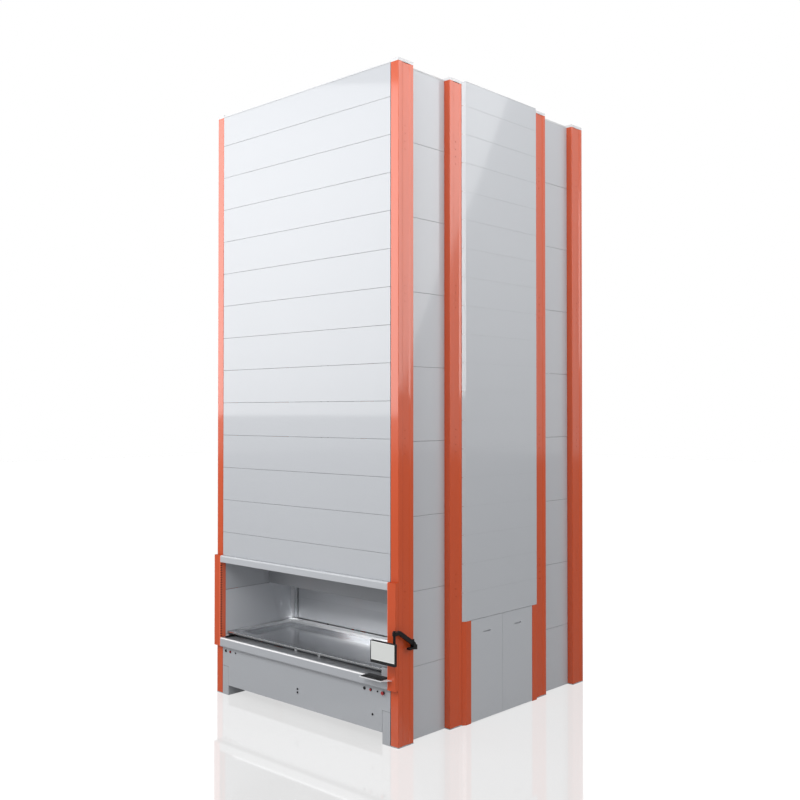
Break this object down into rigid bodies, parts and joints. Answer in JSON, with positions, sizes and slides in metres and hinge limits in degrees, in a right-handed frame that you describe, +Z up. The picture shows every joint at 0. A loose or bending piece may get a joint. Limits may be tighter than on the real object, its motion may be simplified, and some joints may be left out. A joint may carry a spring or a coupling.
{
  "type": "vertical lift storage cabinet",
  "caption": "Tall storage cabinet with orange uprights, grey panels, a front access bay with a sheet tray, a tray lift inside, and a monitor on an arm.",
  "frame": {"origin": "on the floor in the middle of the lift shaft", "axes": "+X to the right across the front, +Y from the front to the back, +Z up"},
  "size_m": [3.248, 3.7, 7.197],
  "materials": {
    "orange_paint": "satin powder coat",
    "grey_paint": "satin powder coat",
    "white_paint": "gloss powder coat",
    "galvanised": "galvanised sheet",
    "bright_steel": "ground",
    "grey_iron": "painted casting",
    "black_metal": "satin powder coat",
    "black_plastic": "fine texture",
    "red_plastic": "gloss",
    "white_nylon": "machined",
    "belt_rubber": "toothed belt back",
    "lock_metal": "dark plated"
  },
  "bodies": {
    "cabinet": {"uprights": "orange_paint", "upright_feet": "galvanised", "top_caps": "white_paint", "frame_beams": "galvanised", "front_panels": "grey_paint", "rear_panels": "grey_paint", "side_panels": "grey_paint", "shaft_covers": "grey_paint", "shaft_jambs": "orange_paint", "roof_panels": "grey_paint", "access_cheeks": "orange_paint", "sill": "grey_paint", "lintel": "grey_paint", "sill_ends": "grey_paint", "bay_sensors": "black_plastic", "bay_liners": "grey_paint", "bay_hood": "grey_paint", "front_feet": "grey_paint", "bay_rails": "galvanised", "storage_rails": "galvanised", "stored_trays": "galvanised", "lift_masts": "galvanised", "lift_belts": "belt_rubber", "bearing_blocks": "grey_iron", "gearmotor": "grey_iron", "shutter_guides": "grey_paint", "control_cabinet": "grey_paint", "keyboard_shelf": "white_paint", "arm_bracket": "black_metal"},
    "access_tray": {"access_tray": "galvanised"},
    "shutter": {"shutter": "grey_paint"},
    "carriage": {"carriage_frame": "galvanised", "guide_shoes": "white_nylon", "belt_clamps": "bright_steel"},
    "drive_shaft": {"drive_shaft": "bright_steel"},
    "top_shaft": {"top_shaft": "bright_steel"},
    "extractor": {"extractor": "bright_steel"},
    "service_panel_right_front": {"service_panel_right_front": "grey_paint"},
    "service_panel_right_rear": {"service_panel_right_rear": "grey_paint"},
    "service_panel_left_front": {"service_panel_left_front": "grey_paint"},
    "service_panel_left_rear": {"service_panel_left_rear": "grey_paint"},
    "lower_front_panel": {"lower_front_panel": "grey_paint", "control_bezels": "black_plastic"},
    "button_black_left": {"button_black_left": "black_plastic"},
    "button_red_left": {"button_red_left": "red_plastic"},
    "key_switch_left": {"key_switch_left": "black_plastic"},
    "button_black_right": {"button_black_right": "black_plastic"},
    "button_red_right": {"button_red_right": "red_plastic"},
    "key_switch_right": {"key_switch_right": "black_plastic"},
    "emergency_stop": {"emergency_stop": "red_plastic"},
    "lock_upper": {"lock_upper": "lock_metal"},
    "lock_lower": {"lock_lower": "lock_metal"},
    "lock_right": {"lock_right": "lock_metal"},
    "keyboard": {"keyboard": "black_plastic"},
    "arm_base": {"arm_base": "black_metal"},
    "arm_link": {"arm_link": "black_metal"},
    "arm_knuckle": {"arm_knuckle": "black_metal"},
    "arm_head": {"arm_head": "black_metal"},
    "monitor": {"monitor": "black_plastic"}
  },
  "joints": [
    {"name": "tray_slide", "type": "slide", "parent": "cabinet", "child": "access_tray", "axis": [0, 1, 0], "range_m": [0, 1.1525]},
    {"name": "shutter_lift", "type": "slide", "parent": "cabinet", "child": "shutter", "axis": [0, 0, 1], "range_m": [0, 0.48]},
    {"name": "carriage_lift", "type": "slide", "parent": "cabinet", "child": "carriage", "axis": [0, 0, 1], "range_m": [-0.42, 5.98]},
    {"name": "drive_turn", "type": "hinge", "parent": "cabinet", "child": "drive_shaft", "pos_m": [0, 0, 0.11], "axis": [1, 0, 0], "continuous": true},
    {"name": "top_turn", "type": "hinge", "parent": "cabinet", "child": "top_shaft", "pos_m": [0, 0, 7.045], "axis": [1, 0, 0], "continuous": true},
    {"name": "extractor_slide", "type": "slide", "parent": "carriage", "child": "extractor", "axis": [0, 1, 0], "range_m": [-0.15, 1]},
    {"name": "service_panel_right_front_off", "type": "slide", "parent": "cabinet", "child": "service_panel_right_front", "axis": [1, 0, 0], "range_m": [0, 0.4]},
    {"name": "service_panel_right_rear_off", "type": "slide", "parent": "cabinet", "child": "service_panel_right_rear", "axis": [1, 0, 0], "range_m": [0, 0.4]},
    {"name": "service_panel_left_front_off", "type": "slide", "parent": "cabinet", "child": "service_panel_left_front", "axis": [-1, 0, 0], "range_m": [0, 0.4]},
    {"name": "service_panel_left_rear_off", "type": "slide", "parent": "cabinet", "child": "service_panel_left_rear", "axis": [-1, 0, 0], "range_m": [0, 0.4]},
    {"name": "lower_front_panel_off", "type": "slide", "parent": "cabinet", "child": "lower_front_panel", "axis": [0, -1, 0], "range_m": [0, 0.4]},
    {"name": "button_black_left_press", "type": "slide", "parent": "lower_front_panel", "child": "button_black_left", "axis": [0, 1, 0], "range_m": [0, 0.004], "stiffness_N_per_m": 600},
    {"name": "button_red_left_press", "type": "slide", "parent": "lower_front_panel", "child": "button_red_left", "axis": [0, 1, 0], "range_m": [0, 0.004], "stiffness_N_per_m": 600},
    {"name": "button_black_right_press", "type": "slide", "parent": "lower_front_panel", "child": "button_black_right", "axis": [0, 1, 0], "range_m": [0, 0.004], "stiffness_N_per_m": 600},
    {"name": "button_red_right_press", "type": "slide", "parent": "lower_front_panel", "child": "button_red_right", "axis": [0, 1, 0], "range_m": [0, 0.004], "stiffness_N_per_m": 600},
    {"name": "emergency_stop_press", "type": "slide", "parent": "lower_front_panel", "child": "emergency_stop", "axis": [0, 1, 0], "range_m": [0, 0.006], "stiffness_N_per_m": 1500},
    {"name": "key_switch_left_turn", "type": "hinge", "parent": "lower_front_panel", "child": "key_switch_left", "pos_m": [-1.174, -1.755, 0.537], "axis": [0, 1, 0], "range_deg": [0, 90]},
    {"name": "key_switch_right_turn", "type": "hinge", "parent": "lower_front_panel", "child": "key_switch_right", "pos_m": [1.246, -1.755, 0.537], "axis": [0, 1, 0], "range_deg": [0, 90]},
    {"name": "lock_upper_turn", "type": "hinge", "parent": "lower_front_panel", "child": "lock_upper", "pos_m": [-0.029, -1.755, 0.32], "axis": [0, 1, 0], "range_deg": [0, 90]},
    {"name": "lock_lower_turn", "type": "hinge", "parent": "lower_front_panel", "child": "lock_lower", "pos_m": [-0.029, -1.755, 0.282], "axis": [0, 1, 0], "range_deg": [0, 90]},
    {"name": "lock_right_turn", "type": "hinge", "parent": "lower_front_panel", "child": "lock_right", "pos_m": [1.172, -1.755, 0.282], "axis": [0, 1, 0], "range_deg": [0, 90]},
    {"name": "keyboard_pick_up", "type": "slide", "parent": "cabinet", "child": "keyboard", "axis": [0, 0, 1], "range_m": [0, 0.1]},
    {"name": "arm_swivel", "type": "hinge", "parent": "cabinet", "child": "arm_base", "pos_m": [1.588, -1.535, 1.024], "axis": [0, 0, 1], "range_deg": [0, 90]},
    {"name": "arm_lift", "type": "hinge", "parent": "arm_base", "child": "arm_link", "pos_m": [1.588, -1.572, 1.063], "axis": [-1, 0, 0], "range_deg": [-40, 12]},
    {"name": "arm_level", "type": "hinge", "parent": "arm_link", "child": "arm_knuckle", "pos_m": [1.588, -1.788, 1.208], "axis": [-1, 0, 0], "range_deg": [-12, 40]},
    {"name": "head_swivel", "type": "hinge", "parent": "arm_knuckle", "child": "arm_head", "pos_m": [1.588, -1.862, 1.208], "axis": [0, 0, 1], "range_deg": [-10, 60]},
    {"name": "monitor_tilt", "type": "hinge", "parent": "arm_head", "child": "monitor", "pos_m": [1.498, -1.897, 1.012], "axis": [1, 0, 0], "range_deg": [-15, 15]}
  ],
  "couplings": [
    {"joint": "drive_turn", "follows": "carriage_lift", "rad_per_m": -15.962},
    {"joint": "top_turn", "follows": "carriage_lift", "rad_per_m": -15.962},
    {"joint": "arm_level", "follows": "arm_lift", "ratio": -1}
  ]
}
